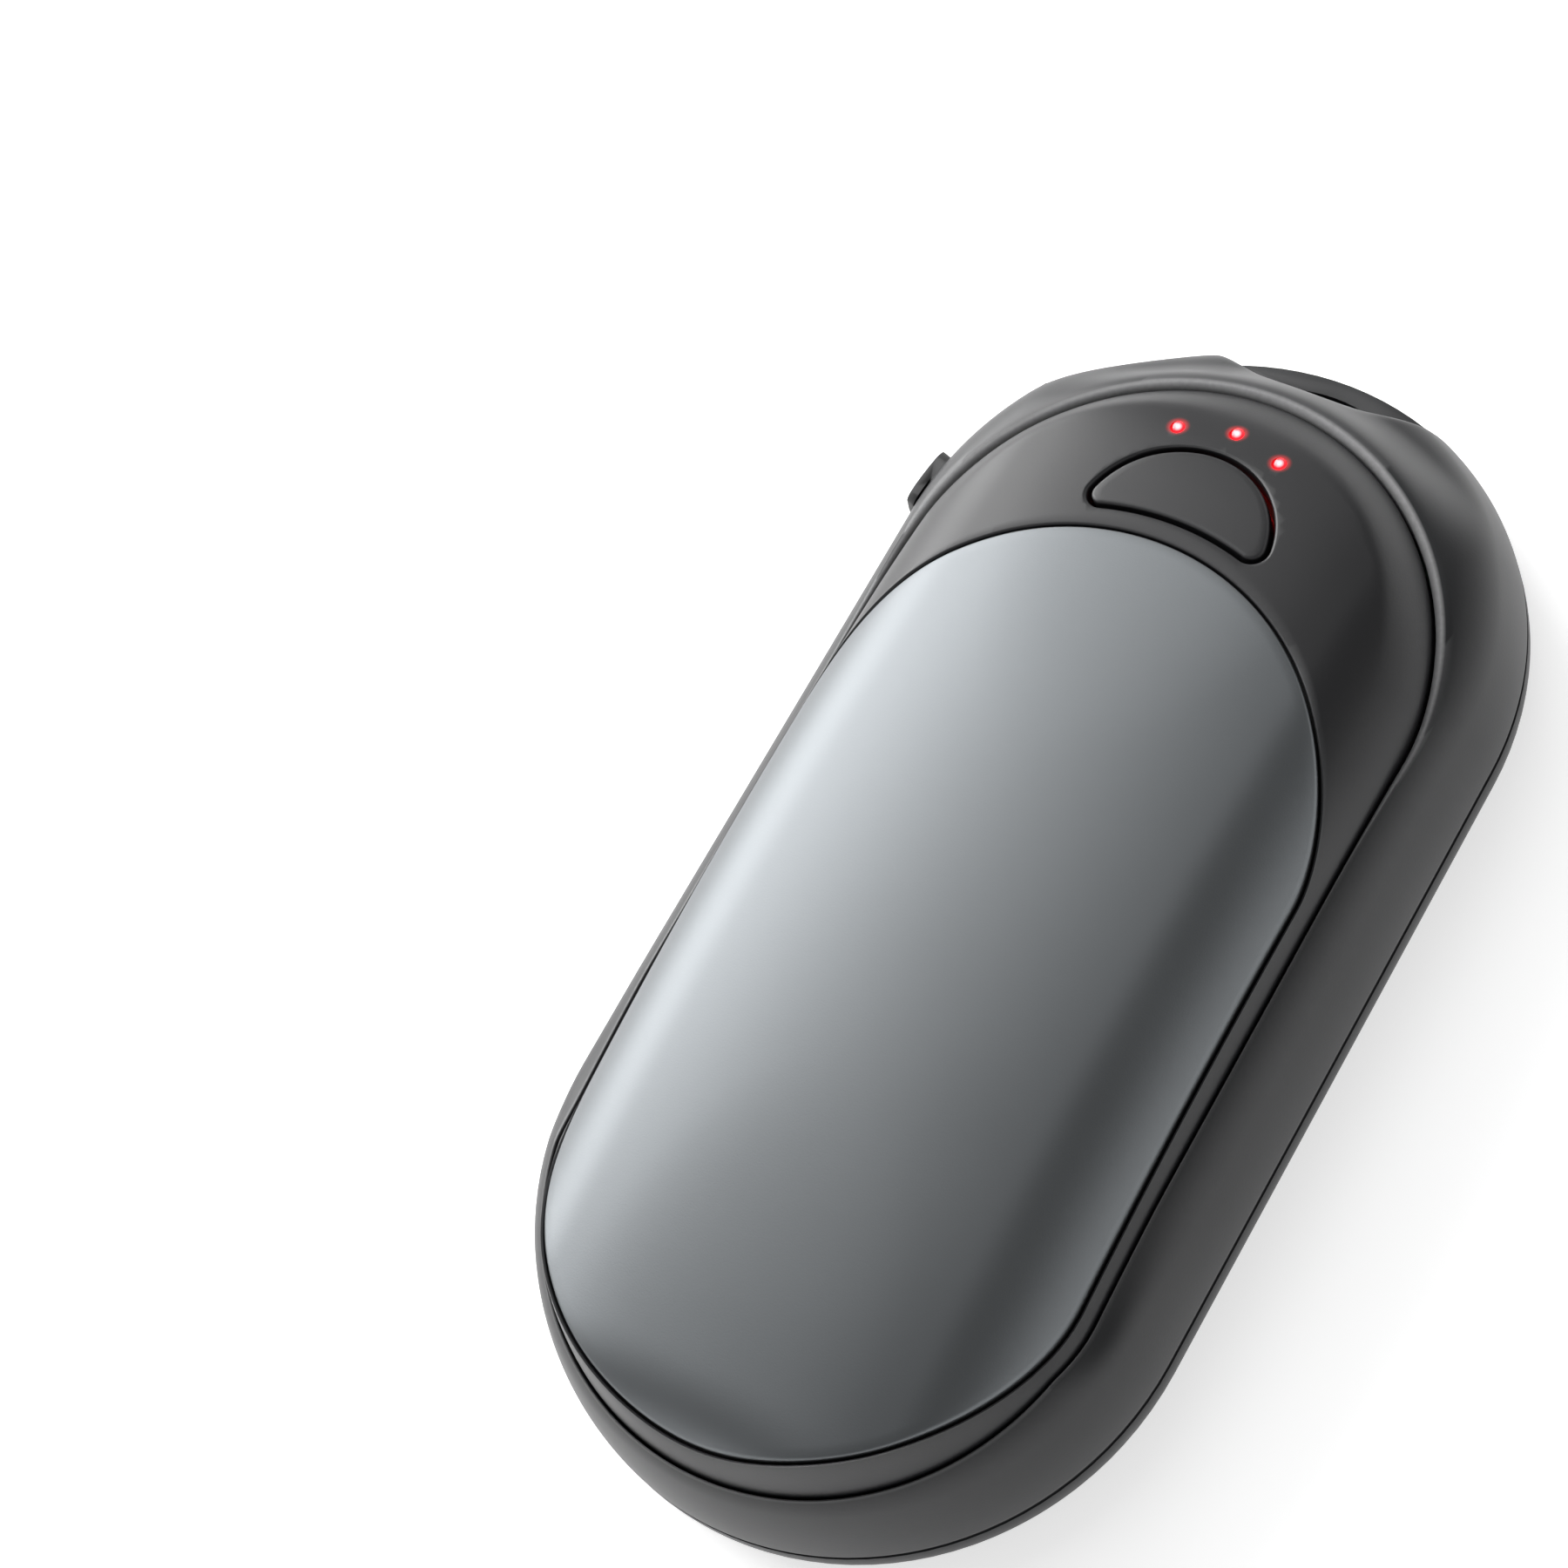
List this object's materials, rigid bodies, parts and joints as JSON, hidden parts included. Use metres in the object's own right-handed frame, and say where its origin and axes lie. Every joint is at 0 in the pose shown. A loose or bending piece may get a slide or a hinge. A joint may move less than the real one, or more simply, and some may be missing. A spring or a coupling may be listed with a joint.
{
  "type": "rechargeable hand warmer",
  "caption": "Palm sized stadium shaped hand warmer with a crowned metal heat panel, a crescent push button, red indicator lights, a flapped charging port and a wrist cord bar.",
  "frame": {"origin": "centre of the flat rear face", "axes": "+X along the width, +Y along the length towards the button, +Z out of the heated front"},
  "size_m": [0.0528, 0.104, 0.023],
  "materials": {
    "case_plastic": "satin charcoal moulded shell",
    "plate_plastic": "satin charcoal moulded front plate",
    "panel_metal": "fine bead blasted, cool grey anodised",
    "light_red": "clear red, lit from behind",
    "soft_rubber": "soft matt charcoal",
    "frame_plastic": "plain moulded",
    "insulation": "needled white felt",
    "film_copper": "amber film",
    "epoxy_black": "black moulding compound",
    "cell_foil": "satin laminated foil",
    "foam_dark": "closed cell foam",
    "board_laminate": "green solder mask",
    "port_steel": "drawn stainless sleeve",
    "ferrite": "ground ferrite",
    "chip_ceramic": "tan ceramic",
    "socket_white": "ivory moulding",
    "lead_red": "silicone wire",
    "lead_white": "silicone wire",
    "led_resin": "clear resin",
    "screw_steel": "plated steel",
    "magnet_nickel": "nickel plated"
  },
  "bodies": {
    "case": {"rear_cover": "case_plastic", "front_shell": "case_plastic", "fascia": "plate_plastic", "heat_panel": "panel_metal", "light_guides": "light_red", "flap_anchor": "soft_rubber", "mid_frame": "frame_plastic", "insulation_pad": "insulation", "heater_film": "film_copper", "thermistor": "epoxy_black", "battery_cell": "cell_foil", "battery_foam": "foam_dark", "protection_board": "board_laminate", "thermal_cutoff": "socket_white", "main_board": "board_laminate", "usb_shell": "port_steel", "usb_tongue": "epoxy_black", "charge_chip": "epoxy_black", "power_inductor": "ferrite", "power_capacitors": "chip_ceramic", "battery_plug": "socket_white", "battery_leads": "lead_red", "heater_leads": "lead_white", "key_board": "board_laminate", "switch_body": "epoxy_black", "indicator_leds": "led_resin", "board_link": "epoxy_black", "case_screws": "screw_steel", "main_board_screws": "screw_steel", "key_board_screws": "screw_steel", "magnets": "magnet_nickel"},
    "button": {"button_cap": "plate_plastic"},
    "plunger": {"switch_plunger": "socket_white"},
    "flap": {"port_flap": "soft_rubber"}
  },
  "joints": [
    {"name": "button_press", "type": "slide", "parent": "case", "child": "button", "axis": [0, 0, -1], "range_m": [0, 0.0004], "stiffness_N_per_m": 2000},
    {"name": "plunger_press", "type": "slide", "parent": "case", "child": "plunger", "axis": [0, 0, -1], "range_m": [0, 0.0004]},
    {"name": "flap_swing", "type": "hinge", "parent": "case", "child": "flap", "pos_m": [-0.02292, 0.03842, 0.01], "axis": [0, 0, -1], "range_deg": [0, 100]}
  ],
  "couplings": [
    {"joint": "plunger_press", "follows": "button_press", "ratio": 1}
  ]
}
